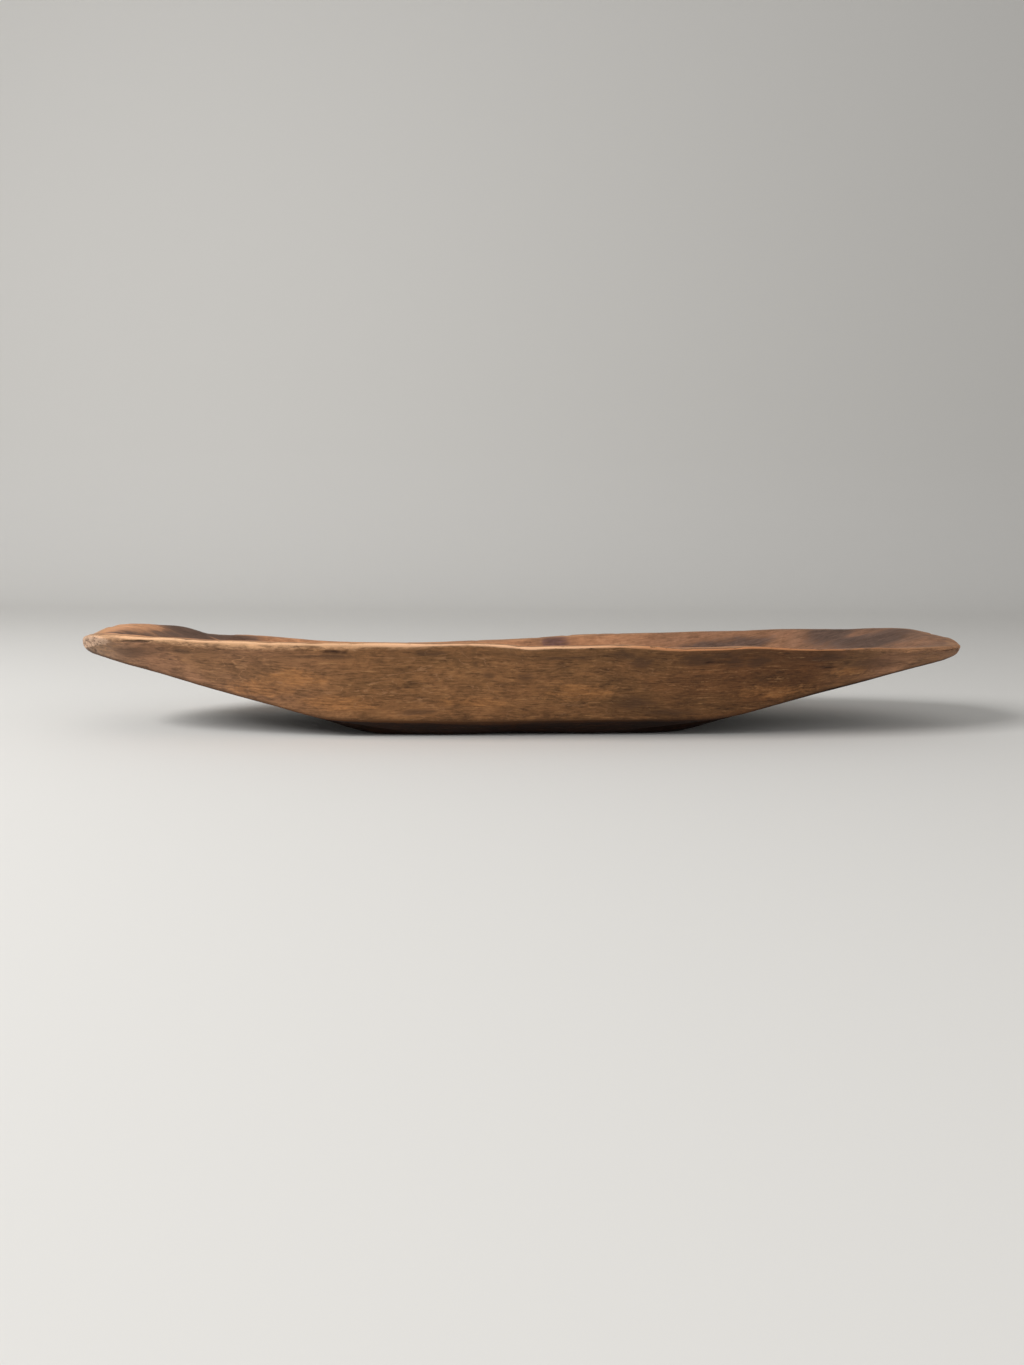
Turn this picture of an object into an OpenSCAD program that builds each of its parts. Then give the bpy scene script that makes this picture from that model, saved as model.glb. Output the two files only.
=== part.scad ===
// Dough bowl, a long shallow trencher carved from one split log, in millimetres.
// It stands on its flat base. +X runs along the bowl, +Y points away from the low near side, +Z is up.

/* [Overall] */
// Length over the two tips
length = 700; // [560:10:860]
// Width over the two long sides
width = 220; // [190:5:300]
// Height of the highest point of the rim
height = 74; // [60:1:100]

/* [Base] */
// Length of the flat base
base_length = 222; // [160:2:260]
// Width of the flat base
base_width = 98; // [70:2:110]
// How far the base sits off the middle of the bowl, along its length
base_offset = -18; // [-40:1:40]
// Rounding where the flat base turns up into the underside, each way
base_round = 10; // [4:0.5:12]

/* [Outside] */
// Height of the hewn edge along the sides, where the underside meets the leaning side walls
hewn_edge_height = 12; // [8:0.5:22]
// How far the rim stands out past the hewn edge along each side
side_lean = 38; // [24:1:46]
// How far each tip stands out past the hewn edge
nose_lean = 1; // [1:0.5:10]
// Depth of each nose, from the top of the bowl down to the hewn edge
nose_depth = 13; // [10:1:22]
// How far the hewn edge stays level past each end of the flat base
hewn_level_run = 30; // [8:1:40]
// How gradually the hewn edge then leaves that level and climbs to the noses
hewn_edge_ease = 5; // [3:1:24]
// Rounding of the hewn edge, each way
hewn_edge_round = 5; // [1:0.5:8]

/* [Rim] */
// Breadth of the rim along the sides
side_wall = 12; // [8:0.5:18]
// Breadth of the rim at the two noses
end_wall = 22; // [14:1:40]
// Rounding of the outer edge of the rim along the sides
rim_round = 3.5; // [2:0.5:7]
// Rounding of the outer edge of the rim at the two noses
nose_round = 10; // [4:0.5:12]
// Rounding of the inner edge of the rim
inner_round = 4; // [1:0.5:5]

/* [Hollow] */
// Thickness of the wood under the edge of the floor
floor_thickness = 16; // [10:0.5:22]
// How much deeper the middle of the floor is than its edge
floor_dish = 1.5; // [0:0.5:4]
// How far the floor runs on past each end of the flat base
floor_end_run = -4; // [-10:1:20]
// How far the floor stops inside the hewn edge, along each side
floor_side_inset = 26; // [22:1:40]

/* [Hidden] */

// Height of the rim as hewn, as pairs of a plan angle and a share of the bowl's height.
// The angle starts at the right tip, passes the far side at 90 and the left tip at 180.
rim_height_shares = [
    [0, 0.92], [20, 0.99], [35, 0.98], [50, 0.95], [65, 0.90], [80, 0.85], [95, 0.78],
    [108, 0.75], [118, 0.77], [130, 0.84], [139, 0.88], [145, 0.97], [152, 0.99], [158, 1.00],
    [166, 0.99], [180, 0.93], [200, 0.97], [225, 0.96], [255, 0.96], [285, 0.93], [315, 0.92],
    [340, 0.91]
];

// Fullness of each outline on plan: 2 is an ellipse, and a larger value has squarer corners
rim_fullness = 2.4;
hewn_edge_fullness = 2.9;
base_fullness = 6;
hollow_fullness = 2.6;
floor_fullness = 2.4;

// How far the climb of the hewn edge bellies out above a straight line, as a share of its rise
climb_belly_share = 0.05;
// The largest share of a straight stretch that the rounding of one of its corners takes
round_share = 0.45;
// Share of the hollow's wall that stays below the rounding of the rim's inner edge
hollow_wall_share = 0.965;
// How scooped the hollow is at the ends and at the sides: smaller is flatter with a tighter bend
scoop_end_share = 0.22;
scoop_side_share = 0.7;
// How quickly the rounding of the noses gives way to that of the sides, as a power of the cosine
nose_reach = 8;

// Points round the bowl, and rings in each stretch of its skin
points_round = 96;
base_corner_rings = 4;
underside_rings = 3;
hewn_edge_rings = 4;
side_rings = 4;
rim_rings = 4;
hollow_rings = 11;
// The flat base and the dished floor have a ring at each of these shares of their outlines
base_disc_shares = [0.6];
floor_disc_shares = [0.75, 0.4];

knuckle_height = height - nose_depth;
base_corner_length = base_length + 2 * base_round;
base_corner_width = base_width + 2 * base_round;
hewn_edge_length = length - 2 * nose_lean;
hewn_edge_width = max(width - 2 * side_lean, base_corner_width);
base_middle = [base_offset, 0];
angles = [for (i = [0 : points_round - 1]) 360 * i / points_round];

function mix(a, b, t) = a + (b - a) * t;

function curve(a, b, c, t) = pow(1 - t, 2) * a + 2 * t * (1 - t) * b + t * t * c;

function flat_point(p, z) = [p.x, p.y, z];

// A knot of the rim table by its number, which may run past either end of the table
function knot(i) =
    let (n = len(rim_height_shares), pair = rim_height_shares[(i + n) % n])
    [pair.x + 360 * floor(i / n), pair.y];

function knot_slope(i) = (knot(i + 1).y - knot(i - 1).y) / (knot(i + 1).x - knot(i - 1).x);

// Share of the height at a plan angle: a smooth cubic from each knot to the next
function rim_share(a) =
    let (
        k = max([for (i = [0 : len(rim_height_shares) - 1]) if (rim_height_shares[i].x <= a) i]),
        gap = knot(k + 1).x - knot(k).x,
        t = (a - knot(k).x) / gap,
        rise = 3 * t * t - 2 * t * t * t
    )
    mix(knot(k).y, knot(k + 1).y, rise)
        + gap * t * (1 - t) * ((1 - t) * knot_slope(k) - t * knot_slope(k + 1));

function rim_height(a) = height * rim_share(a);

// Unit outline on plan, whose corners get squarer as the fullness grows
function outline(a, fullness) =
    [cos(a), sin(a)] / pow(pow(abs(cos(a)), fullness) + pow(abs(sin(a)), fullness), 1 / fullness);

// Height of the hewn edge above a place along the bowl: level beside the base, and a slightly
// bellied climb to the knuckle under each nose, with a smooth bend between the two
function hewn_height(x) =
    let (
        along = abs(x - base_offset),
        level_end = base_corner_length / 2 + hewn_level_run,
        knuckle_end = hewn_edge_length / 2 - sign(x - base_offset) * base_offset,
        share = (along - level_end) / (knuckle_end - level_end),
        belly = climb_belly_share * (1 - pow(2 * share - 1, 2)),
        rise = (knuckle_height - hewn_edge_height) * (share + belly)
    )
    hewn_edge_height + (rise + sqrt(rise * rise + hewn_edge_ease * hewn_edge_ease)) / 2;

function edge_round(a) = mix(rim_round, nose_round, pow(cos(a), nose_reach));

// The four corners of the section at one plan angle, before they are rounded
function base_corner(a) =
    let (unit = outline(a, base_fullness))
    [base_offset + unit.x * base_corner_length / 2, unit.y * base_corner_width / 2, 0];

function hewn_corner(a) =
    let (
        unit = outline(a, hewn_edge_fullness),
        x = unit.x * hewn_edge_length / 2
    )
    [x, unit.y * hewn_edge_width / 2, hewn_height(x)];

// The rim's corner stands out past the rim's outline by what its rounding then cuts off
function rim_corner(a) =
    let (
        unit = outline(a, rim_fullness),
        edge = [unit.x * length / 2, unit.y * width / 2, rim_height(a)],
        rise = edge - hewn_corner(a),
        lean = [rise.x, rise.y, 0],
        top_way = edge_round(a),
        side_way = min(top_way, round_share * norm(rise)) * norm(lean) / norm(rise),
        cut = top_way * side_way / (top_way + side_way)
    )
    edge + lean * cut / norm(lean);

function inner_corner(a) =
    let (unit = outline(a, hollow_fullness))
    [unit.x * (length / 2 - end_wall), unit.y * (width / 2 - side_wall), rim_height(a)];

function floor_edge(a) =
    let (unit = outline(a, floor_fullness))
    [
        base_offset + unit.x * (base_length / 2 + floor_end_run),
        unit.y * (hewn_edge_width / 2 - floor_side_inset),
        floor_thickness
    ];

// Wall of the hollow, from the floor's edge at s = 0 to the rim at s = 1, along a hyperbola
function hollow_wall(a, s) =
    let (
        scoop = mix(scoop_end_share, scoop_side_share, pow(sin(a), 2)),
        climb = (sqrt(s * s + scoop * scoop) - scoop) / (sqrt(1 + scoop * scoop) - scoop),
        place = mix(floor_edge(a), inner_corner(a), s)
    )
    [place.x, place.y, mix(floor_thickness, rim_height(a), climb)];

// The point a given way from one corner towards the next
function toward(p, q, way) = mix(p, q, min(way / norm(q - p), round_share));

function bend(p, corner, q, rings) = [for (i = [0 : rings]) curve(p, corner, q, i / rings)];

function rounded(before, corner, after, way, rings) =
    bend(toward(corner, before, way), corner, toward(corner, after, way), rings);

function between(p, q, rings) = [for (i = [1 : rings - 1]) mix(p, q, i / rings)];

// The section of the wood at one plan angle, from the base, up the outside, over the rim and
// down the hollow to the floor
function section(a) =
    let (
        foot = base_corner(a),
        hewn = hewn_corner(a),
        rim = rim_corner(a),
        inner = inner_corner(a),
        foot_bend = rounded(flat_point(base_middle, 0), foot, hewn, base_round, base_corner_rings),
        hewn_bend = rounded(foot, hewn, rim, hewn_edge_round, hewn_edge_rings),
        rim_bend = rounded(hewn, rim, inner, edge_round(a), rim_rings),
        hollow_top = hollow_wall(a, hollow_wall_share)
    )
    [
        for (share = base_disc_shares) mix(flat_point(base_middle, 0), foot_bend[0], share),
        each foot_bend,
        each between(foot_bend[base_corner_rings], hewn_bend[0], underside_rings),
        each hewn_bend,
        each between(hewn_bend[hewn_edge_rings], rim_bend[0], side_rings),
        each rim_bend,
        each bend(toward(inner, rim, inner_round), inner, hollow_top, rim_rings),
        for (i = [1 : hollow_rings]) hollow_wall(a, hollow_wall_share * (1 - i / hollow_rings)),
        for (share = floor_disc_shares)
            let (place = mix(base_middle, floor_edge(a), share))
            flat_point(place, floor_thickness - floor_dish * (1 - share * share))
    ];

// One closed skin: the sections side by side, with a fan over the base and one over the floor
module bowl() {
    sections = [for (a = angles) section(a)];
    rings = len(sections[0]);
    base_centre = points_round * rings;
    floor_centre = base_centre + 1;
    points = concat(
        [for (one = sections) each one],
        [flat_point(base_middle, 0), flat_point(base_middle, floor_thickness - floor_dish)]
    );
    faces = [
        for (i = [0 : points_round - 1])
        let (here = i * rings, next = (i + 1) % points_round * rings)
        each [
            [base_centre, here, next],
            for (j = [0 : rings - 2]) each [
                [here + j, here + j + 1, next + j],
                [next + j, here + j + 1, next + j + 1]
            ],
            [floor_centre, next + rings - 1, here + rings - 1]
        ]
    ];
    color([0.44, 0.31, 0.19]) polyhedron(points, faces, convexity = 4);
}

bowl();
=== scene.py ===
import math

import bpy
import numpy as np
from mathutils import Matrix


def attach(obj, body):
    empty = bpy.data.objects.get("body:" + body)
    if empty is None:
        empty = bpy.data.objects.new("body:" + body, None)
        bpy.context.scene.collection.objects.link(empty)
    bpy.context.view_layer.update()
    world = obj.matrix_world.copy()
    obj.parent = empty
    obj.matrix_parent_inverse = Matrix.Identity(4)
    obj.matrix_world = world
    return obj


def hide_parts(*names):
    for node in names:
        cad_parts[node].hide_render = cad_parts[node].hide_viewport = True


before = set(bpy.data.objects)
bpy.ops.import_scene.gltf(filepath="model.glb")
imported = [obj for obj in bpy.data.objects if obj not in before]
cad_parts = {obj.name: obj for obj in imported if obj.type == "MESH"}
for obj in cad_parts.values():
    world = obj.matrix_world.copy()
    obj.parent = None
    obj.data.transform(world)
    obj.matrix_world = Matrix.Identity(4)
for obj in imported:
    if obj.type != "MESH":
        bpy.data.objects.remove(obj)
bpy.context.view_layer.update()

# The blank. A dough bowl is carved from one half of a split hardwood log, so the whole object is
# one piece and every surface below belongs to it. Axe and drawknife leave a flat base, an
# underside that climbs to each end, and leaning sides that meet it along a crisp hewn edge.

MM = 0.001
length, width, height = 700 * MM, 220 * MM, 74 * MM
base_length, base_width = 222 * MM, 98 * MM
base_offset, base_round = -18 * MM, 10 * MM
hewn_edge_height, hewn_edge_ease, hewn_level_run = 12 * MM, 5 * MM, 30 * MM
hewn_edge_round, knuckle_round = 4 * MM, 5 * MM
side_lean, nose_lean, nose_depth = 38 * MM, 1 * MM, 13 * MM
climb_belly_share = 0.05
rim_fullness, hewn_edge_fullness, base_fullness = 2.4, 2.9, 6
round_share = 0.45
nose_reach = 8

base_corner_length = base_length + 2 * base_round
base_corner_width = base_width + 2 * base_round
hewn_edge_length = length - 2 * nose_lean
hewn_edge_width = width - 2 * side_lean
base_middle = np.array([base_offset, 0, 0])

# Sections stand round the bowl at these plan angles, a little closer together along the sides
sections_round, crowding = 720, 0.12
turn = np.arange(sections_round) * 2 * np.pi / sections_round
angle = turn + crowding * np.sin(2 * turn)
at_nose = np.cos(angle) ** nose_reach


def outline(fullness):
    """Unit outline on plan at every angle: where the ray meets |x|^n + |y|^n = 1."""
    x, y = np.cos(angle), np.sin(angle)
    reach = (abs(x) ** fullness + abs(y) ** fullness) ** (-1 / fullness)
    return x * reach, y * reach


def smooth(value, low, high):
    """Share from 0 at low to 1 at high, level at both ends: 3 t^2 - 2 t^3."""
    t = np.clip((value - low) / (high - low), 0, 1)
    return t ** 2 * (3 - 2 * t)


def waves(at, shapes):
    """Height of bell-shaped waves along a line: the sum of high * e^-((at - place) / long)^2. Each
    is given by its place, its height and half its length, in millimetres."""
    total = np.zeros(len(at))
    for place, high, long in np.array(shapes) * MM:
        total += high * np.exp(-((at - place) / long) ** 2)
    return total


def hewn_height(x):
    """Height of the hewn edge: level beside the base, then a climb to the nose with a belly of
    1 - (2 share - 1)^2, and a hyperbola that blends the two, (rise + root(rise^2 + ease^2)) / 2."""
    level_end = base_corner_length / 2 + hewn_level_run
    nose_end = hewn_edge_length / 2 - np.sign(x - base_offset) * base_offset
    share = (abs(x - base_offset) - level_end) / (nose_end - level_end)
    share = share + climb_belly_share * (1 - (2 * share - 1) ** 2)
    rise = (height - nose_depth - hewn_edge_height) * share
    return hewn_edge_height + (rise + np.sqrt(rise ** 2 + hewn_edge_ease ** 2)) / 2


x, y = outline(base_fullness)
base_corner = np.stack(
    [base_offset + x * base_corner_length / 2, y * base_corner_width / 2, 0 * x], -1)

# The foot runs out a little further at its right end
foot_run = 7 * MM
base_corner[:, 0] += foot_run * smooth(base_corner[:, 0], 40 * MM, 100 * MM)

x, y = outline(hewn_edge_fullness)
hewn_corner = np.stack(
    [x * hewn_edge_length / 2, y * hewn_edge_width / 2, hewn_height(x * hewn_edge_length / 2)], -1)

# Two places where the axe bit deeper and the hewn edge lies lower
hewn_dips = [(150, 1.4, 40), (340, 1.2, 30)]
hewn_corner[:, 2] -= waves(hewn_corner[:, 0], hewn_dips)

# The rim. It was never sawn level: it follows the split face of the log, dips on the far side
# where the wood ran out, and has worn down in shallow waves under a century of hands.

rim_height_shares = [
    [0, 0.92], [20, 0.99], [35, 0.98], [50, 0.95], [65, 0.90], [80, 0.85], [95, 0.78],
    [108, 0.75], [118, 0.77], [130, 0.84], [139, 0.88], [145, 0.97], [152, 0.99], [158, 1.00],
    [166, 0.99], [180, 0.93], [200, 0.97], [225, 0.96], [255, 0.96], [285, 0.93], [315, 0.92],
    [340, 0.91]
]
side_wall, end_wall = 12 * MM, 22 * MM
rim_round, nose_round, inner_round = 3.5 * MM, 10 * MM, 4 * MM

# Shallow waves of the near side and of the far side, and the lift of the right tip in degrees
near_waves = [
    (-325, 1.2, 26), (-272, 1.8, 26), (-228, 0.5, 20), (-60, 1.3, 260), (-60, 1.1, 24),
    (-20, -1.0, 12), (48, 1.5, 28), (88, -0.6, 14), (147, 1.7, 24), (243, 1.0, 18)]
far_waves = [(-340, 1.4, 22), (330, 1.8, 28)]
tip_lift, tip_at, tip_long = 2.9 * MM, -3, 9


def rim_height():
    """Height of the rim at every angle: a smooth cubic from each knot of the table to the next,
    with each knot's slope taken from its two neighbours, closed on itself."""
    knots = np.array(rim_height_shares)
    knots = np.vstack([knots[-1] - [360, 0], knots, knots[:2] + [360, 0]])
    at, share = knots.T
    slope = (share[2:] - share[:-2]) / (at[2:] - at[:-2])
    degrees = np.degrees(angle) % 360
    k = np.searchsorted(at, degrees, side="right") - 1
    gap = at[k + 1] - at[k]
    t = (degrees - at[k]) / gap
    rise = 3 * t ** 2 - 2 * t ** 3
    lean = (1 - t) * slope[k - 1] - t * slope[k]
    return height * (share[k] + (share[k + 1] - share[k]) * rise + gap * t * (1 - t) * lean)


x, y = outline(rim_fullness)
rim_x, rim_y = x * length / 2, y * width / 2
far_share = smooth(rim_y, -20 * MM, 10 * MM)
from_right = (np.degrees(angle) + 180) % 360 - 180
rim_top = rim_height() + tip_lift * np.exp(-((from_right - tip_at) / tip_long) ** 2)
rim_top += waves(rim_x, near_waves) * (1 - far_share) + waves(rim_x, far_waves) * far_share
edge_round = rim_round + (nose_round - rim_round) * at_nose
rim_edge = np.stack([rim_x, rim_y, rim_top], -1)
rise = rim_edge - hewn_corner
rise_long = np.linalg.norm(rise, axis=1)
lean_long = np.linalg.norm(rise[:, :2], axis=1)
side_way = np.minimum(edge_round, round_share * rise_long) * lean_long / rise_long
cut_off = edge_round * side_way / (edge_round + side_way)
rim_corner = rim_edge + rise * [1, 1, 0] * (cut_off / lean_long)[:, None]

# The hollow. It is chopped out with a curved adze across the grain and scraped along it: a flat
# dished floor, scooped sides, and long straight slopes up to both ends.

floor_thickness, floor_dish = 16 * MM, 1.5 * MM
floor_end_run, floor_side_inset = -4 * MM, 26 * MM
hollow_fullness, floor_fullness = 2.6, 2.4
hollow_wall_share = 0.965
scoop_end_share, scoop_side_share = 0.22, 0.7

x, y = outline(hollow_fullness)
inner_corner = np.stack([x * (length / 2 - end_wall), y * (width / 2 - side_wall), rim_top], -1)
x, y = outline(floor_fullness)
floor_edge = np.stack([
    base_offset + x * (base_length / 2 + floor_end_run),
    y * (hewn_edge_width / 2 - floor_side_inset),
    floor_thickness + 0 * x], -1)


def hollow_wall(s):
    """Wall of the hollow from the floor's edge at s = 0 to the rim at s = 1: its height follows
    a hyperbola, (root(s^2 + scoop^2) - scoop) / (root(1 + scoop^2) - scoop)."""
    s = s[:, None]
    scoop = scoop_end_share + (scoop_side_share - scoop_end_share) * np.sin(angle) ** 2
    climb = (np.sqrt(s ** 2 + scoop ** 2) - scoop) / (np.sqrt(1 + scoop ** 2) - scoop)
    wall = floor_edge + (inner_corner - floor_edge) * s[..., None]
    wall[..., 2] = floor_thickness + (rim_top - floor_thickness) * climb
    return wall


# The skin of the wood, as one closed surface. Each section runs from the middle of the base, up
# the outside, over the rim and down the hollow to the middle of the floor.


def mix(a, b, t):
    """The point a share t of the way from a to b: a + (b - a) t."""
    return a + (b - a) * t


def toward(p, q, way):
    """The point a given way from corner p towards corner q, but never past round_share of it."""
    share = np.minimum(way / np.linalg.norm(q - p, axis=-1), round_share)
    return mix(p, q, share[:, None])


def bend(p, corner, q, rings):
    """Rings of a rounded corner: the quadratic curve from p to q that the corner pulls out."""
    t = np.linspace(0, 1, rings)[:, None, None]
    return (1 - t) ** 2 * p + 2 * t * (1 - t) * corner + t ** 2 * q


def between(p, q, rings):
    """Rings of a straight stretch, without the two that end it."""
    return mix(p, q, np.linspace(0, 1, rings + 2)[1:-1, None, None])


# Rings in each bend and each straight stretch, and the shares at which the two flat middles have
# theirs. They are set close where the light shows the cuts.
foot_count, hewn_count, rim_count, inner_count = 6, 6, 9, 8
underside_count, side_count, between_count, hollow_count = 20, 32, 2, 38
base_shares = np.linspace(0.15, 0.9, 5)[:, None, None]
floor_shares = np.linspace(0.9, 0.12, 8)[:, None, None]

middle = np.broadcast_to(base_middle, base_corner.shape)
foot_bend = bend(
    toward(base_corner, middle, base_round), base_corner,
    toward(base_corner, hewn_corner, base_round), foot_count)
lower_round = hewn_edge_round + (knuckle_round - hewn_edge_round) * at_nose
hewn_bend = bend(
    toward(hewn_corner, base_corner, lower_round), hewn_corner,
    toward(hewn_corner, rim_corner, lower_round), hewn_count)
rim_bend = bend(
    toward(rim_corner, hewn_corner, edge_round), rim_corner,
    toward(rim_corner, inner_corner, edge_round), rim_count)
inner_bend = bend(
    toward(inner_corner, rim_corner, inner_round), inner_corner,
    hollow_wall(np.array([hollow_wall_share]))[0], inner_count)
base_disc = mix(middle, foot_bend[0], base_shares)
floor_disc = mix(middle, floor_edge * [1, 1, 0], floor_shares)
floor_disc[..., 2] = floor_thickness - floor_dish * (1 - floor_shares[..., 0] ** 2)

outer_rings = [
    base_disc, foot_bend, between(foot_bend[-1], hewn_bend[0], underside_count), hewn_bend,
    between(hewn_bend[-1], rim_bend[0], side_count)]
inner_rings = [
    rim_bend, between(rim_bend[-1], inner_bend[0], between_count), inner_bend,
    hollow_wall(np.linspace(hollow_wall_share, 0, hollow_count + 1)[1:]), floor_disc]
skin = np.concatenate(outer_rings + inner_rings)
rings = len(skin)
wall_ring = sum(len(part) for part in outer_rings[:3]) + len(hewn_bend) // 2
seam_ring = sum(len(part) for part in outer_rings)
edge_ring = seam_ring + len(rim_bend) // 2
base_pole = base_middle
floor_pole = base_middle + [0, 0, floor_thickness - floor_dish]

# How far each point lies from the two middles, measured along the wood
step = np.linalg.norm(np.diff(skin, axis=0), axis=2)
from_base = np.linalg.norm(skin[0] - base_pole, axis=1) + np.vstack([0 * step[:1], step.cumsum(0)])
from_floor = from_base[-1] + np.linalg.norm(skin[-1] - floor_pole, axis=1) - from_base
from_edge = from_base - from_base[edge_ring]


def unrolled(way):
    """Skin laid flat: each point's plan direction from the middle, at its way along the wood."""
    plan = skin[..., :2] - base_middle[:2]
    return plan * (way / np.linalg.norm(plan, axis=2))[..., None]


flat_outside, flat_inside = unrolled(from_base), unrolled(from_floor)
along = np.gradient(skin, axis=0)
across = np.roll(skin, -1, axis=1) - np.roll(skin, 1, axis=1)
normal = np.cross(across, along)
normal /= np.linalg.norm(normal, axis=2)[..., None]
inside = np.clip(from_edge / (8 * MM), 0, 1)

# Tool marks and wear. Long flat drawknife cuts outside, short gouge scoops inside, drying cracks
# along the grain, pits in the end grain and a century of knocks. All of it is real depth.

# A second pair of coordinates for the walls: the way round from the left tip, and below the rim
rim_line = skin[edge_ring]
way_round = np.linalg.norm(np.roll(rim_line, -1, axis=0) - rim_line, axis=1).cumsum()
from_left = abs(way_round - way_round[sections_round // 2])
wall_x = np.broadcast_to(from_left - from_left.max() / 2, skin.shape[:2])
near_side = skin[..., 1] < 0
end_grain = abs(normal[..., 0])


def rolling(place, size, number, seed):
    """Smooth unevenness about 0: the sum of waves in seeded random directions, each about size
    long on its axis, divided by the root of their number."""
    draw = np.random.default_rng(seed)
    way = draw.normal(size=(number, place.shape[-1])) / np.array(size)
    phase = draw.uniform(0, 2 * np.pi, number)
    total = 0
    for one_way, one_phase in zip(way, phase):
        total = total + np.sin(place @ one_way * 2 * np.pi + one_phase)
    return total / math.sqrt(number)


def cuts(flat, long, wide, seed):
    """Tool cuts laid like bricks over the unrolled wood: the squared distance to the nearest
    cut's middle, in half cuts, so 0 in a cut and about 1 on the ridges between them."""
    half_long, half_wide = 420 * MM, 170 * MM
    draw = np.random.default_rng(seed)
    columns = np.arange(-half_long / long, half_long / long)
    rows = np.arange(-half_wide / wide, half_wide / wide)
    u, v = np.meshgrid(columns, rows)
    u = u + 0.5 * (np.arange(len(rows)) % 2)[:, None] + draw.uniform(-0.3, 0.3, u.shape)
    v = v + draw.uniform(-0.28, 0.28, v.shape)
    near = np.full(flat.shape[:-1], np.inf)
    for middle_u, middle_v in zip(u.ravel(), v.ravel()):
        off_u = (flat[..., 0] / long - middle_u) * 2
        off_v = (flat[..., 1] / wide - middle_v) * 2
        near = np.minimum(near, off_u ** 2 + off_v ** 2)
    return near


def knocks(where, number, small, large, seed):
    """Dents at seeded random points of the skin: each is a bowl, 1 - (distance / radius)^2, as
    deep as its radius is large, and where they overlap the deepest counts."""
    draw = np.random.default_rng(seed)
    spots = skin[where][draw.integers(0, where.sum(), number)]
    total = np.zeros(skin.shape[:2])
    for spot, radius in zip(spots, draw.uniform(small, large, number)):
        off = ((skin - spot) ** 2).sum(-1) / radius ** 2
        total = np.maximum(total, (1 - off) * radius / large)
    return total


def grooves(side, shapes):
    """Lens-shaped grooves in a wall, 1 along the middle line and 0 at the edge. Each is given by
    the way round and the drop below the rim of its middle, half its length, half its width, and
    its slope. The middle line wavers by a seventh of the width, as the sine of 9 off."""
    total = np.zeros(skin.shape[:2])
    for middle_u, middle_v, half_long, half_wide, slope in np.array(shapes) * [MM, MM, MM, MM, 1]:
        off = (wall_x - middle_u) / half_long
        line = middle_v + slope * (wall_x - middle_u) + 0.15 * half_wide * np.sin(off * 9)
        room = half_wide * (1 - off ** 2).clip(1e-3)
        total = np.maximum(total, (1 - abs(from_edge - line) / room) * (abs(off) < 1) * side)
    return total


outer_cuts = cuts(flat_outside, 130 * MM, 30 * MM, seed=11)
inner_cuts = cuts(flat_inside, 46 * MM, 22 * MM, seed=12)
uneven = rolling(skin, [170 * MM, 80 * MM, 80 * MM], 24, seed=13)
fibres = rolling(skin, [60 * MM, 6 * MM, 6 * MM], 40, seed=14)
on_side = 1 - inside
near_edge = abs(from_edge) < 5 * MM
tip = (abs(skin[..., 0]) > 318 * MM) & (end_grain > 0.5) & (from_edge < 4 * MM)
pits = knocks(tip, 150, 0.7 * MM, 1.7 * MM, seed=15)
dents = knocks(from_edge < -6 * MM, 120, 3 * MM, 9 * MM, seed=16)
nicks = knocks(near_edge, 70, 2 * MM, 6 * MM, seed=17)

# Drying cracks, by the way round and the drop below the rim of their middles
near_cracks = [
    (-299, -3.2, 15, 2.1, 0.02), (-152, -6, 11, 0.9, 0.03), (118, -12, 12, 0.9, -0.03),
    (206, -20, 10, 0.8, 0.04), (318, -6, 20, 1.1, 0.03)]
far_cracks = [
    (-316, -7, 22, 1.4, 0.03), (-190, -18, 18, 1.1, -0.02), (20, -24, 26, 1.1, 0.02),
    (170, -12, 18, 1.2, -0.03), (326, -4, 16, 1.5, 0.02)]
cracks = np.maximum(grooves(near_side, near_cracks), grooves(~near_side, far_cracks))

# The scoops were scraped away near the rim, and are left lower down
scooped = np.clip(from_edge / (100 * MM) - 0.3, 0, 1)

# Every kind of mark times its depth, with the ridges between the cuts blunted
ridge_top, ridge_middle = 1.8, 0.6
relief = (
    0.40 * MM * uneven
    + 0.06 * MM * fibres
    + 0.28 * MM * (np.minimum(outer_cuts, ridge_top) - ridge_middle) * on_side
    + 0.85 * MM * (np.minimum(inner_cuts, ridge_top) - ridge_middle) * scooped
    - 0.70 * MM * pits
    - 0.35 * MM * dents
    - 0.80 * MM * nicks
    - 1.30 * MM * cracks)

carved = skin + normal * relief[..., None]
carved[..., 2] = np.maximum(carved[..., 2], 0)

# The mesh: quads between the rings, and a fan over each middle

points = np.vstack([carved.reshape(-1, 3), base_pole, floor_pole])
ring_start = np.arange(rings - 1)[:, None] * sections_round
here = np.arange(sections_round)[None]
after = (here + 1) % sections_round
quads = np.stack([
    ring_start + here, ring_start + sections_round + here,
    ring_start + sections_round + after, ring_start + after], -1).reshape(-1, 4)
last_ring = (rings - 1) * sections_round
base_fan = np.stack([0 * here + rings * sections_round, here, after], -1).reshape(-1, 3)
floor_fan = np.stack(
    [0 * here + rings * sections_round + 1, last_ring + after, last_ring + here], -1).reshape(-1, 3)
corners = np.concatenate([quads.ravel(), base_fan.ravel(), floor_fan.ravel()])
sizes = np.concatenate([np.full(len(quads), 4), np.full(2 * sections_round, 3)])

wood_mesh = bpy.data.meshes.new("dough_bowl")
wood_mesh.vertices.add(len(points))
wood_mesh.vertices.foreach_set("co", points.ravel())
wood_mesh.loops.add(len(corners))
wood_mesh.loops.foreach_set("vertex_index", corners)
wood_mesh.polygons.add(len(sizes))
wood_mesh.polygons.foreach_set("loop_start", np.concatenate([[0], sizes.cumsum()[:-1]]))
wood_mesh.polygons.foreach_set("use_smooth", np.ones(len(sizes), bool))
wood_mesh.update(calc_edges=True)
wood_mesh.validate()

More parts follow.
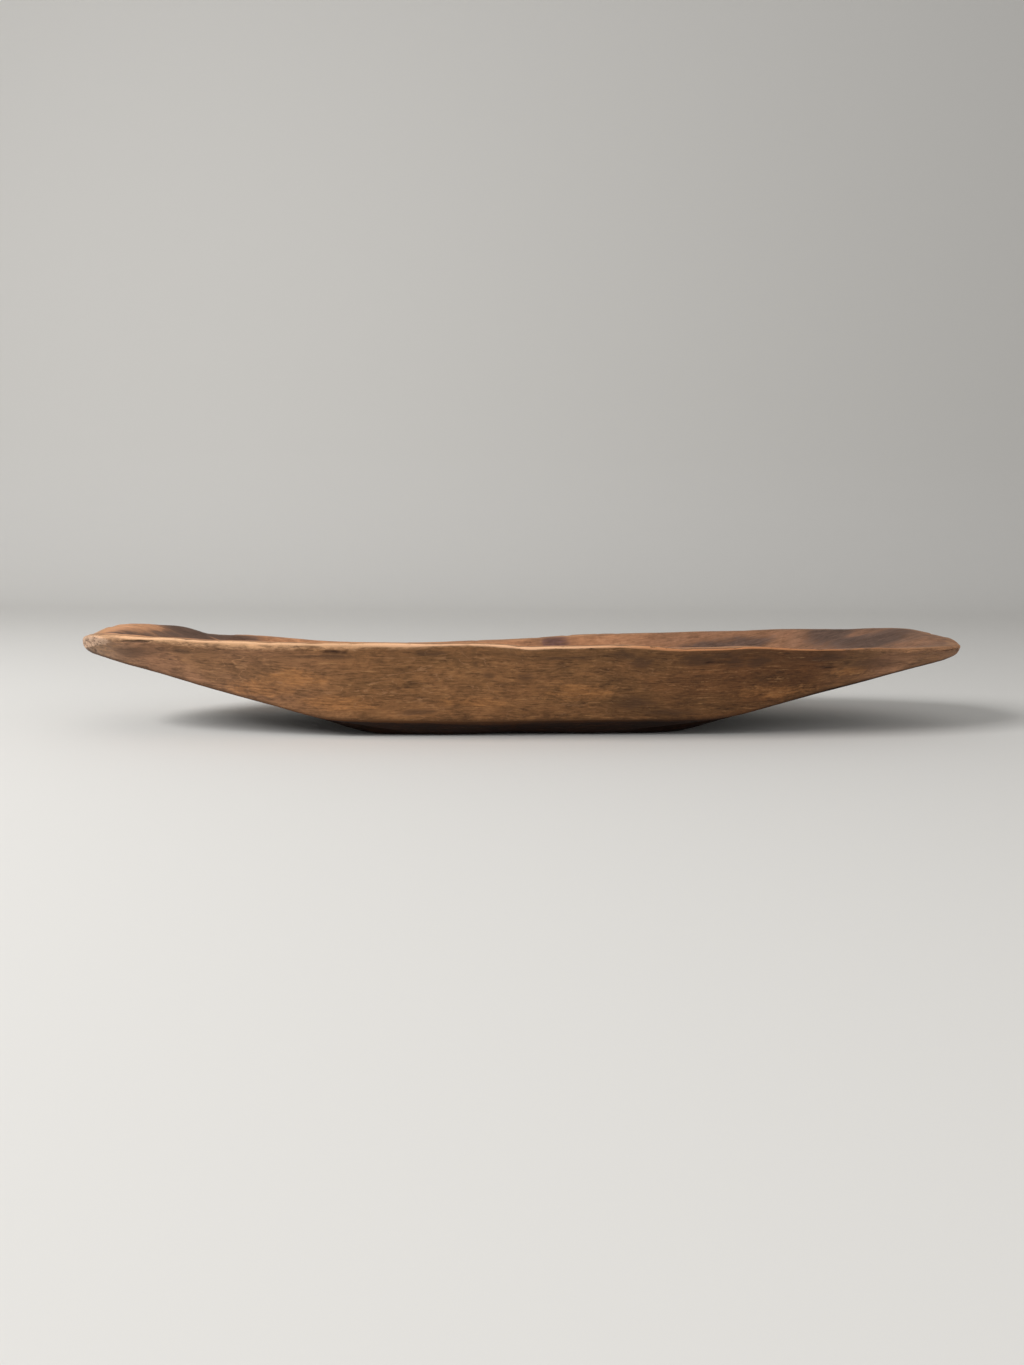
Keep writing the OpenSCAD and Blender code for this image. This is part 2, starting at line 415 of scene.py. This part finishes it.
# Its unrolled map: outside and hollow as two strips across a square
map_long = 780 * MM
strip_middles = 0.25, 0.75
strip_wide = 330 * MM


def strip(flat, strip_middle):
    """One strip of the square map: the way along over map_long from the middle of the square, and
    the way across over twice strip_wide from the strip's own middle line."""
    flat = np.vstack([flat.reshape(-1, 2), [[0, 0], [0, 0]]])
    return np.stack([0.5 + flat[:, 0] / map_long, strip_middle + flat[:, 1] / strip_wide / 2], -1)


outside_map = strip(flat_outside, strip_middles[0])
inside_map = strip(flat_inside, strip_middles[1])
quad_outside = np.repeat(np.arange(rings - 1) < seam_ring, sections_round * 4)
loop_outside = np.concatenate([
    quad_outside, np.ones(3 * sections_round, bool), np.zeros(3 * sections_round, bool)])
unwrapped = np.where(loop_outside[:, None], outside_map[corners], inside_map[corners])
wood_map = wood_mesh.uv_layers.new(name="OFBake")
wood_map.data.foreach_set("uv", unwrapped.ravel())


def keep(name, values, at_base, at_floor):
    """Stores a number for each point of the skin, which the material reads by its name."""
    layer = wood_mesh.attributes.new(name, "FLOAT", "POINT")
    numbers = np.append(values.ravel(), [at_base, at_floor])
    layer.data.foreach_set("value", numbers.astype(np.float32))


# On the walls the grain runs with the rim, and elsewhere along the log, where it is drawn out
# upwards so that the slopes aren't striped. The near and the far wall get patterns of their own.
on_wall = (np.arange(rings) >= wall_ring) & (np.arange(rings) < edge_ring)
wall_grain = np.stack([wall_x, from_edge, skin[..., 1] * 0.03 - 0.2], -1)
grain_ways = np.where(on_wall[:, None, None], wall_grain, skin * [1, 1, 0.15])
underside = np.broadcast_to((np.arange(rings) < wall_ring)[:, None], skin.shape[:2])
above_hewn = from_edge - from_edge[wall_ring]

# How far below the rim hands have rubbed the wall pale, by the way round the near side
rub_at = [-340, -290, -250, -160, -60, 60, 220, 260, 320]
rub_down = [2.4, 3.8, 6, 3.4, 2.2, 1.6, 1.4, 5, 6]
far_rub_down = 2.5
hand_rub = np.where(near_side, np.interp(wall_x / MM, rub_at, rub_down), far_rub_down)


def blots(shapes, place_a, place_b, where):
    """Soft ellipses: 1 in the middle, 0 at the edge, and less beyond it, down to -1. Each is
    given by its middle's two places, half its length and half its width, in millimetres."""
    total = np.full(skin.shape[:2], -1.0)
    for middle_a, middle_b, half_a, half_b in shapes:
        off_a, off_b = (place_a / MM - middle_a) / half_a, (place_b / MM - middle_b) / half_b
        reach = off_a ** 2 + off_b ** 2
        total = np.maximum(total, 1 - reach)
    return np.where(where, total, -1)


# Smudges and paler patches on the two walls, by the way round and the drop below the rim
near_smudges = [
    (-296, -16, 19, 9), (-88, -7, 15, 3), (-47, -26, 5, 4), (-21, -26, 7, 5), (-96, -61, 14, 3),
    (44, -7, 16, 5), (62, -14, 12, 6), (103, -9, 15, 6), (123, -5, 9, 4), (131, -11, 10, 7),
    (148, -12, 10, 5), (205, -9, 22, 5), (60, -52, 20, 8), (88, -60, 24, 5), (-262, -12, 10, 3),
    (246, -20, 26, 8), (-160, -10, 30, 2), (6, -9, 24, 2)]
far_smudges = [
    (-280, -14, 30, 9), (-150, -26, 60, 6), (-40, -10, 50, 4), (80, -34, 50, 7), (210, -12, 46, 6)]
smudges = np.maximum(
    blots(near_smudges, wall_x, from_edge, near_side),
    blots(far_smudges, wall_x, from_edge, ~near_side))
gold_patches = [
    (-204, -42, 26, 10), (-180, -30, 24, 9), (-150, -52, 30, 8), (-60, -52, 30, 5),
    (20, -42, 30, 10), (170, -42, 34, 7), (226, -26, 18, 6)]
gold = blots(gold_patches, wall_x, from_edge, skin[..., 2] > 0)

# Scorched and soaked stains in the hollow, by their places on plan, and bare patches in them
plan_x, plan_y, in_hollow = skin[..., 0], skin[..., 1], inside > 0.3
stain_places = [
    (-282, 56, 26, 20), (-264, 56, 28, 18), (-250, 72, 32, 11), (-332, 2, 13, 5),
    (-324, 6, 15, 7), (-315, 12, 15, 8), (-307, 20, 15, 9), (-299, 29, 14, 9), (-292, 38, 14, 9),
    (150, 77, 56, 7), (196, 73, 30, 9), (272, 60, 24, 18), (288, 66, 22, 8),
    (280, 42, 22, 18), (298, 24, 34, 18)]
bare_places = [(292, 48, 15, 6), (-256, 58, 16, 3)]
faint_places = [
    (240, -34, 70, 30), (-30, 10, 110, 30), (60, -30, 70, 22), (-190, -20, 60, 34),
    (150, 20, 60, 26), (276, 44, 58, 44), (160, 78, 100, 22), (-272, 60, 58, 28),
    (-314, 10, 30, 14)]
bare_strength = 1.6
stains = blots(stain_places, plan_x, plan_y, in_hollow)
stains = stains - bare_strength * blots(bare_places, plan_x, plan_y, in_hollow).clip(0)
faint_stains = blots(faint_places, plan_x, plan_y, in_hollow)
ink_spot = blots([(27, 95, 14, 10)], plan_x, plan_y, inside > 0.2)

# The bare end grain of the two tips, by the way round and the drop below the rim
tip_round = wall_x.max() / MM
facet_places = [(-tip_round, -7, 74, 12), (tip_round, -5, 44, 7)]
facets = blots(facet_places, wall_x, from_edge, end_grain > 0.1)

keep("from_edge", from_edge / MM, -100, 100)
keep("inside", inside, 0, 1)
keep("underside", underside, 1, 0)
keep("above_hewn", above_hewn / MM, -100, 100)
keep("ridge", inner_cuts * scooped, 0, 0.5)
keep("facets", facets, -1, -1)
keep("hand_rub", hand_rub, 1, 1)
keep("dark_in_cracks", np.maximum(cracks, pits * 0.8).clip(0, 1), 0, 0)
keep("smudges", smudges, -1, -1)
keep("gold", gold, -1, -1)
keep("stains", stains, -1, -1)
keep("faint_stains", faint_stains, -1, -1)
keep("ink_spot", ink_spot, -1, -1)
grain_ways = np.vstack([grain_ways.reshape(-1, 3), base_pole, floor_pole])
grain_layer = wood_mesh.attributes.new("grain", "FLOAT_VECTOR", "POINT")
grain_layer.data.foreach_set("vector", grain_ways.ravel().astype(np.float32))

bowl = bpy.data.objects.new("dough_bowl", wood_mesh)
bpy.context.scene.collection.objects.link(bowl)

# The old wood. Hardwood that has gone brown with oil, smoke and hands: fine grain along the
# bowl, a worn pale rim, a sooty hollow.


def shade(red, green, blue):
    """Linear colour from the 0 to 255 numbers of a colour card."""
    card = np.array([red, green, blue]) / 255
    linear = np.where(card > 0.04045, ((card + 0.055) / 1.055) ** 2.4, card / 12.92)
    return (*linear.tolist(), 1.0)


class Pattern:
    """Something that changes over the wood: a number, colour or vector from a node's socket.
    Sums and products of patterns add the Math nodes that work them out."""

    def __init__(self, tree, socket=None):
        self.tree, self.socket = tree, socket

    def node(self, kind, settings, sockets, output=0):
        """Adds a node of any kind: its settings first, then the value or link of each socket."""
        made = self.tree.nodes.new("ShaderNode" + kind)
        for name, value in settings.items():
            setattr(made, name, value)
        for name, value in sockets.items():
            if isinstance(value, Pattern):
                self.tree.links.new(value.socket, made.inputs[name])
            else:
                made.inputs[name].default_value = value
        return Pattern(self.tree, None if output is None else made.outputs[output])

    def maths(self, operation, first, second):
        return self.node("Math", {"operation": operation}, {0: first, 1: second})

    def __add__(self, other):
        return self.maths("ADD", self, other)

    def __radd__(self, other):
        return self.maths("ADD", other, self)

    def __sub__(self, other):
        return self.maths("SUBTRACT", self, other)

    def __rsub__(self, other):
        return self.maths("SUBTRACT", other, self)

    def __mul__(self, other):
        return self.maths("MULTIPLY", self, other)

    def __rmul__(self, other):
        return self.maths("MULTIPLY", other, self)

    def __truediv__(self, other):
        return self.maths("DIVIDE", self, other)

    def __pow__(self, other):
        return self.maths("POWER", self, other)


old_wood = bpy.data.materials.new("old_wood")
old_wood.use_nodes = True
old_wood.node_tree.nodes.clear()
wood = Pattern(old_wood.node_tree)
place = wood.node("TexCoord", {}, {}, "Object")
grain = wood.node("Attribute", {"attribute_name": "grain"}, {}, "Vector")


def kept(name):
    """One of the numbers that were stored on the skin, by its name."""
    return wood.node("Attribute", {"attribute_name": name}, {}, "Fac")


def axis(vector, letter):
    """One of the three numbers of a place."""
    return wood.node("SeparateXYZ", {}, {0: vector}, letter)


def scaled(vector, size):
    """A place in units of size, which is given in millimetres for each axis."""
    return wood.node(
        "VectorMath", {"operation": "DIVIDE"}, {0: vector, 1: [one * MM for one in size]})


def cloud(vector, size, detail=3.0, roughness=0.55, distortion=0.0):
    """Noise from 0 to 1 whose blotches measure about size, in millimetres on each axis."""
    return wood.node("TexNoise", {"noise_dimensions": "3D"}, {
        "Vector": scaled(vector, size), "Scale": 1.0, "Detail": detail,
        "Roughness": roughness, "Distortion": distortion})


def over(value, low, high):
    """Smooth mask: 0 up to low, 1 from high on, or the other way round if low is above high."""
    return wood.node(
        "MapRange", {"interpolation_type": "SMOOTHSTEP"}, {0: value, 1: low, 2: high})


def size_of(value):
    """How far a value is from 0, whichever way."""
    return wood.node("Math", {"operation": "ABSOLUTE"}, {0: value})


def part_of(value):
    """What is left of a value above the whole number below it, so it climbs from 0 to 1."""
    return wood.node("Math", {"operation": "FRACT"}, {0: value})


def tint(amount, under, upper):
    """The under colour where amount is 0 and the upper one where it is 1."""
    return wood.node(
        "Mix", {"data_type": "RGBA", "clamp_factor": True}, {0: amount, 6: under, 7: upper}, 2)


def lit(colour, factor):
    """A colour made lighter or darker by a factor that changes over the wood."""
    vector = colour if isinstance(colour, Pattern) else colour[:3]
    return wood.node("VectorMath", {"operation": "SCALE"}, {0: vector, "Scale": factor})


# Where on the bowl, and the grain: long streaks, fine fibres, light and dark flecks, mottling
way_along = axis(place, "X") / MM
edge_way = kept("from_edge")
streak = cloud(grain, [110, 6, 6], 4.0, 0.6)
fibre = cloud(grain, [10, 0.9, 0.9], 3.0, 0.6)
thread = cloud(grain, [20, 1.7, 1.7], 4.0, 0.65, 0.2)
grit = cloud(grain, [5, 2.2, 2.2], 5.0, 0.7, 0.4)
mottle = cloud(place, [22, 13, 13], 6.0, 0.7, 0.3)
patch = cloud(place, [80, 36, 36], 3.0, 0.5)
light_fleck = over(thread, 0.56, 0.66) * over(grit, 0.40, 0.60)
dark_fleck = over(cloud(grain, [16, 1.3, 1.3], 3.0, 0.6), 0.58, 0.68) * over(grit, 0.62, 0.42)
figure_line = part_of(cloud(grain, [60, 22, 22], 2.5, 0.5, 0.5) * 9)
figure = over(size_of(figure_line - 0.5), 0.07, 0.0)
figure = figure * over(patch, 0.40, 0.52) * over(grit, 0.35, 0.55) * over(way_along, 220, -160)
unevenness = (
    (streak - 0.5) * 0.8 + (fibre - 0.5) * 1.4 + (thread - 0.5) * 0.4 + (grit - 0.5) * 1.4
    + (mottle - 0.5) * 2.0)
ragged = (mottle - 0.5) * 2.0 + (grit - 0.5) * 1.2 + (thread - 0.5) * 0.8

# Outside: grey-brown at the left, golden in the middle, dark red-brown at the right, partly the
# wood's own tone and partly painted shade of light from the left
face = tint(over(way_along, -345, -285), shade(118, 96, 78), shade(146, 106, 78))
face = tint(over(way_along, -260, -120), face, shade(144, 101, 64))
face = tint(over(way_along, -60, 190), face, shade(104, 67, 39))
face = tint(over(way_along, 190, 290), face, shade(162, 118, 88))
face = tint(over(patch, 0.42, 0.62) * 0.5, face, shade(120, 86, 53))
face = tint(over(kept("gold") + ragged * 1.4, -0.2, 1.1) * 0.5, face, shade(170, 116, 68))
face = lit(face, 1 + unevenness)
face = tint(light_fleck * 0.6, face, shade(186, 138, 92))
face = tint(figure * 0.7, face, shade(176, 130, 92))
face = tint(dark_fleck * 0.55, face, shade(60, 40, 26))
smear = over(kept("smudges") * 0.8 + ragged * 1.8, -0.1, 0.9)
face = tint(smear * 0.55, face, shade(60, 44, 36))
greasy = over(edge_way + ragged * 12, -16, -5) * over(mottle, 0.42, 0.58)
face = tint(greasy * 0.45, face, shade(74, 52, 34))
# Painted shade with some grime: the side darkens over its last 3 mm above the hewn edge
face = tint(over(kept("above_hewn") + ragged, 3.0, 0.0) * 0.5, face, shade(58, 36, 20))

# Underside: dark with grime that was never scrubbed off, and nearly black with painted shade;
# scuffed where it stands
under_grime_and_shade = lit(shade(34, 14, 3), 1 + unevenness * 1.2)
# Painted shade: lighter within 8 mm below the hewn edge, more so on the left than on the right
under_edge = over(kept("above_hewn") + ragged * 3, -8, 0) * (0.7 - over(way_along, -120, 40) * 0.4)
under_grime_and_shade = tint(under_edge, under_grime_and_shade, shade(104, 66, 34))
under_grime_and_shade = tint(light_fleck * 0.25, under_grime_and_shade, shade(96, 64, 38))
scuff = over(axis(place, "Z") / MM, 1.6, 0.1) * over(streak + thread * 0.6 + grit * 0.6, 0.9, 1.4)
under_grime_and_shade = tint(scuff * 0.5, under_grime_and_shade, shade(104, 76, 52))
face = tint(kept("underside"), face, under_grime_and_shade)

# Hollow: orange-brown and scraped clean in the middle, with growth rings and scorched stains
warm = tint(over(way_along, -120, 160), shade(184, 130, 92), shade(160, 114, 82))
warm = tint(over(way_along, 190, 270), warm, shade(124, 92, 72))
warm = tint(over(way_along, -285, -325) * 0.7, warm, shade(206, 152, 112))
warm = tint(over(patch, 0.4, 0.62) * 0.5, warm, shade(138, 100, 74))
pith_high, ring_gap = 140 * MM, 4.2 * MM
wander = cloud(place, [240, 150, 150], 2.0, 0.5)
ring_y = axis(place, "Y") + (wander - 0.5) * 26 * MM
ring_z = axis(place, "Z") + (wander - 0.5) * 34 * MM - pith_high
ring = part_of((ring_y * ring_y + ring_z * ring_z) ** 0.5 / ring_gap)
late_wood = over(ring, 0.25, 0.92) * over(ring, 1.0, 0.94) * over(mottle, 0.25, 0.6)
late_wood = late_wood * over(way_along, -340, -230)
warm = tint(late_wood * 0.38, warm, shade(112, 74, 50))
warm = lit(warm, 1 + unevenness * 0.8)
warm = tint(light_fleck * 0.3, warm, shade(216, 168, 124))
worn_ridge = over(kept("ridge"), 0.8, 1.4) * over(mottle, 0.4, 0.6)
warm = tint(worn_ridge * 0.2, warm, shade(214, 164, 118))
soaked = over(kept("faint_stains") + ragged * 1.6 + (streak - 0.5) * 3, -0.4, 1.4)
warm = tint(soaked * 0.55, warm, lit(shade(118, 84, 64), 1 + unevenness))
char = kept("stains") + ragged * 1.2 + (streak - 0.5) * 0.4 + (patch - 0.5) * 2
char = over(char, -0.4, 0.8)
warm = tint(char * 0.85, warm, lit(shade(82, 65, 57), 1 + unevenness))
ink = over(kept("ink_spot") + ragged * 1.4, -0.3, 0.9)
warm = tint(ink * 0.85, warm, lit(shade(96, 67, 66), 1 + unevenness))
skin_colour = tint(kept("inside"), face, warm)

# Noses: bare end grain, pale on the left one, with open pores
pore = wood.node("TexVoronoi", {}, {"Vector": scaled(place, [3, 2.1, 2.1]), "Scale": 1.0})
bare_end = over(kept("facets") + ragged * 0.4, 0.0, 0.3)
end_colour = tint(over(way_along, 0, 50), shade(184, 152, 127), shade(160, 120, 90))
end_colour = lit(end_colour, 1 + (grit - 0.5) * 1.2)
end_colour = tint(over(pore, 0.38, 0.2) * 0.8, end_colour, shade(76, 56, 46))
skin_colour = tint(bare_end * 0.9, skin_colour, end_colour)

# Rim: a crisp rubbed line all round, and below it a mottled tan band as wide as hands took hold
rub_wide = kept("hand_rub")
band = over(edge_way / rub_wide + ragged * 0.8, -1.5, -0.4) * over(edge_way, 3.0, 1.0)
band_colour = tint(over(way_along, 0, 200), shade(206, 160, 120), shade(178, 128, 90))
band_colour = lit(band_colour, 1 + unevenness * 1.2)
skin_colour = tint(band * over(rub_wide, 1.2, 4.0) * 0.85, skin_colour, band_colour)
line_colour = tint(over(way_along, -150, -100), shade(216, 170, 130), shade(230, 180, 140))
line_colour = tint(over(way_along, -10, 90), line_colour, shade(186, 126, 84))
line_colour = tint(over(way_along, 200, 300), line_colour, shade(170, 124, 90))
line_way = size_of(edge_way - 0.2 + (thread - 0.5) * 2) * (1 + over(way_along, -60, 60) * 0.9)
rubbed = over(line_way, 2.1, 0.9) * over(grit, 0.28, 0.46) * over(way_along, -322, -288)
skin_colour = tint(rubbed, skin_colour, line_colour)
rim_flat = over(edge_way, 1.5, 4.0) * over(edge_way, 12.0, 8.0)
skin_colour = tint(rim_flat * over(mottle, 0.35, 0.6) * 0.35, skin_colour, shade(196, 146, 104))
# Darker in the drying cracks and in the pits of the end grain
skin_colour = tint(kept("dark_in_cracks"), skin_colour, shade(48, 30, 24))

grain_relief = fibre * 0.5 + thread * 0.4 + grit * 0.4 + mottle * 0.4 - dark_fleck * 0.3
wood_normal = wood.node(
    "Bump", {}, {"Strength": 0.5, "Distance": 0.45 * MM, "Height": grain_relief})
finish = wood.node("BsdfPrincipled", {}, {
    "Base Color": skin_colour, "Roughness": 0.5 + mottle * 0.3, "Normal": wood_normal,
    "Specular IOR Level": 0.2})
wood.node("OutputMaterial", {}, {"Surface": finish}, None)

wood_mesh.materials.append(old_wood)
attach(bowl, "root")
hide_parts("bowl")

# The room, which is no part of the bowl. A pale floor runs up into a backdrop in one sweep, and the
# light comes from a soft lamp on the left, a weak fill on the right and the pale room itself.

floor_mesh = bpy.data.meshes.new("floor")
sweep = np.linspace(0, 1, 25)
bend_way = np.clip((sweep - 0.4) / 0.3, 0, 1) * np.pi / 2
front_y, back_y, sweep_round, wall_high = -3, 1.6, 0.5, 3
profile_y = np.where(
    sweep < 0.4, mix(front_y, back_y, sweep / 0.4), back_y + sweep_round * np.sin(bend_way))
profile_z = sweep_round * (1 - np.cos(bend_way)) + np.clip((sweep - 0.7) / 0.3, 0, 1) * wall_high
side_x = np.array([-4.0, 4.0])
floor_points = np.stack([
    np.repeat(side_x, len(sweep)), np.tile(profile_y, 2), np.tile(profile_z, 2)], -1)
k = np.arange(len(sweep) - 1)
floor_mesh.from_pydata(
    floor_points.tolist(), [],
    np.stack([k, k + len(sweep), k + len(sweep) + 1, k + 1], -1).tolist())
floor_mesh.polygons.foreach_set("use_smooth", np.ones(len(k), bool))
floor = bpy.data.objects.new("floor", floor_mesh)
bpy.context.scene.collection.objects.link(floor)
plaster = bpy.data.materials.new("plaster")
plaster.use_nodes = True
plaster_finish = plaster.node_tree.nodes["Principled BSDF"]
plaster_finish.inputs["Base Color"].default_value = shade(214, 212, 208)
plaster_finish.inputs["Roughness"].default_value = 0.9
floor_mesh.materials.append(plaster)


def lamp(name, place, aim, size, power):
    """A square soft lamp at a place, turned to shine on the aim."""
    light = bpy.data.lights.new(name, "AREA")
    light.size, light.energy = size, power
    lamp_object = bpy.data.objects.new(name, light)
    lamp_object.location = place
    way = Matrix.Translation(aim).translation - Matrix.Translation(place).translation
    lamp_object.rotation_euler = way.to_track_quat("-Z", "Y").to_euler()
    bpy.context.scene.collection.objects.link(lamp_object)


lamp("key", (-1.8, -0.9, 1.4), (0, 0, 0.03), 1.0, 58)
lamp("fill", (1.8, -1.4, 1.2), (0, 0, 0.03), 1.6, 6)

world = bpy.data.worlds.new("room")
bpy.context.scene.world = world
world.use_nodes = True
world.node_tree.nodes["Background"].inputs["Color"].default_value = (1, 1, 1, 1)
world.node_tree.nodes["Background"].inputs["Strength"].default_value = 0.4

# The camera stands a little left of the bowl's middle, about 130 mm above the table

camera_place = (-107.8 * MM, -817.5 * MM, 133.8 * MM)
camera_yaw, camera_pitch, camera_roll = (math.radians(one) for one in (6.11, 7.04, 0.73))
view = bpy.data.cameras.new("camera")
view.sensor_width = 36
view.lens = 27.03
view.clip_start = 0.02
camera = bpy.data.objects.new("camera", view)
camera.matrix_world = (
    Matrix.Translation(camera_place) @ Matrix.Rotation(-camera_yaw, 4, "Z")
    @ Matrix.Rotation(math.pi / 2 - camera_pitch, 4, "X") @ Matrix.Rotation(camera_roll, 4, "Z"))
bpy.context.scene.collection.objects.link(camera)
bpy.context.scene.camera = camera
bpy.context.scene.view_settings.view_transform = "Standard"
